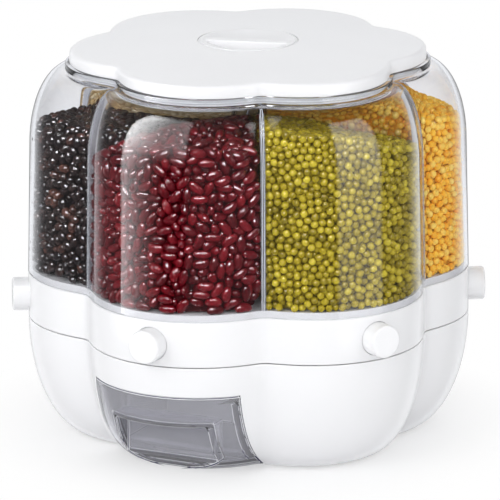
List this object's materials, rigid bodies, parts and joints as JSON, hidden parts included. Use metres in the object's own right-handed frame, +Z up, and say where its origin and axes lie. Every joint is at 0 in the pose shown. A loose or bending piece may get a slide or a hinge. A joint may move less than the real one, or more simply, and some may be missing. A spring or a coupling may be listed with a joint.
{
  "type": "rice dispenser with drawer",
  "caption": "Rotating lobed grain dispenser: a clear compartmented container with push-button gates turns on a white base that holds a pull-out drawer.",
  "frame": {"origin": "centre of the base, on the surface that the feet stand on", "axes": "+Z up along the axis that the container turns on, -Y towards the drawer's front, +X to the right of it"},
  "size_m": [0.289, 0.322, 0.269],
  "materials": {
    "white_gloss": "glossy injection-moulded white",
    "white_inner": "satin moulded white",
    "clear_shell": "clear polished",
    "smoky_clear": "smoky clear polished",
    "silicone": "matte silicone",
    "foot_rubber": "matte rubber",
    "steel": "plain steel",
    "gate_plastic": "satin acetal"
  },
  "bodies": {
    "base": {"base_shell": "white_gloss", "base_plate": "white_inner", "rubber_feet": "foot_rubber", "deck": "white_inner", "drawer_bay": "white_inner", "pivot_post": "steel", "lower_race": "steel", "base_screws": "steel"},
    "carousel": {"button_ring": "white_gloss", "carousel_base": "white_inner", "hopper_floor": "white_inner", "clear_body": "clear_shell", "divider": "clear_shell", "upper_race": "steel", "retaining_washer": "steel", "centre_screw": "steel", "carousel_screws": "steel", "return_spring_1": "steel", "return_spring_2": "steel", "return_spring_3": "steel", "return_spring_4": "steel", "return_spring_5": "steel", "return_spring_6": "steel"},
    "bearing_cage": {"ball_cage": "gate_plastic", "bearing_balls": "steel"},
    "lid": {"lid": "white_gloss", "lid_grip": "white_gloss", "lid_gasket": "silicone"},
    "drawer": {"drawer": "smoky_clear"},
    "button_1": {"button_1": "white_gloss", "gate_1": "gate_plastic"},
    "button_2": {"button_2": "white_gloss", "gate_2": "gate_plastic"},
    "button_3": {"button_3": "white_gloss", "gate_3": "gate_plastic"},
    "button_4": {"button_4": "white_gloss", "gate_4": "gate_plastic"},
    "button_5": {"button_5": "white_gloss", "gate_5": "gate_plastic"},
    "button_6": {"button_6": "white_gloss", "gate_6": "gate_plastic"}
  },
  "joints": [
    {"name": "carousel_turn", "type": "hinge", "parent": "base", "child": "carousel", "pos_m": [0, 0, 0.0905], "axis": [0, 0, 1], "continuous": true},
    {"name": "cage_turn", "type": "hinge", "parent": "base", "child": "bearing_cage", "pos_m": [0, 0, 0.076], "axis": [0, 0, 1], "continuous": true},
    {"name": "lid_lift", "type": "slide", "parent": "carousel", "child": "lid", "axis": [0, 0, 1], "range_m": [0, 0.06]},
    {"name": "drawer_slide", "type": "slide", "parent": "base", "child": "drawer", "axis": [0, -1, 0], "range_m": [0, 0.085]},
    {"name": "button_1_press", "type": "slide", "parent": "carousel", "child": "button_1", "axis": [0, 1, 0], "range_m": [0, 0.0105], "stiffness_N_per_m": 250, "springref_m": -0.004, "deforming": ["return_spring_1"]},
    {"name": "button_2_press", "type": "slide", "parent": "carousel", "child": "button_2", "axis": [-0.866, 0.5, 0], "range_m": [0, 0.0105], "stiffness_N_per_m": 250, "springref_m": -0.004, "deforming": ["return_spring_2"]},
    {"name": "button_3_press", "type": "slide", "parent": "carousel", "child": "button_3", "axis": [-0.866, -0.5, 0], "range_m": [0, 0.0105], "stiffness_N_per_m": 250, "springref_m": -0.004, "deforming": ["return_spring_3"]},
    {"name": "button_4_press", "type": "slide", "parent": "carousel", "child": "button_4", "axis": [0, -1, 0], "range_m": [0, 0.0105], "stiffness_N_per_m": 250, "springref_m": -0.004, "deforming": ["return_spring_4"]},
    {"name": "button_5_press", "type": "slide", "parent": "carousel", "child": "button_5", "axis": [0.866, -0.5, 0], "range_m": [0, 0.0105], "stiffness_N_per_m": 250, "springref_m": -0.004, "deforming": ["return_spring_5"]},
    {"name": "button_6_press", "type": "slide", "parent": "carousel", "child": "button_6", "axis": [0.866, 0.5, 0], "range_m": [0, 0.0105], "stiffness_N_per_m": 250, "springref_m": -0.004, "deforming": ["return_spring_6"]}
  ],
  "couplings": [
    {"joint": "cage_turn", "follows": "carousel_turn", "ratio": 0.5}
  ]
}
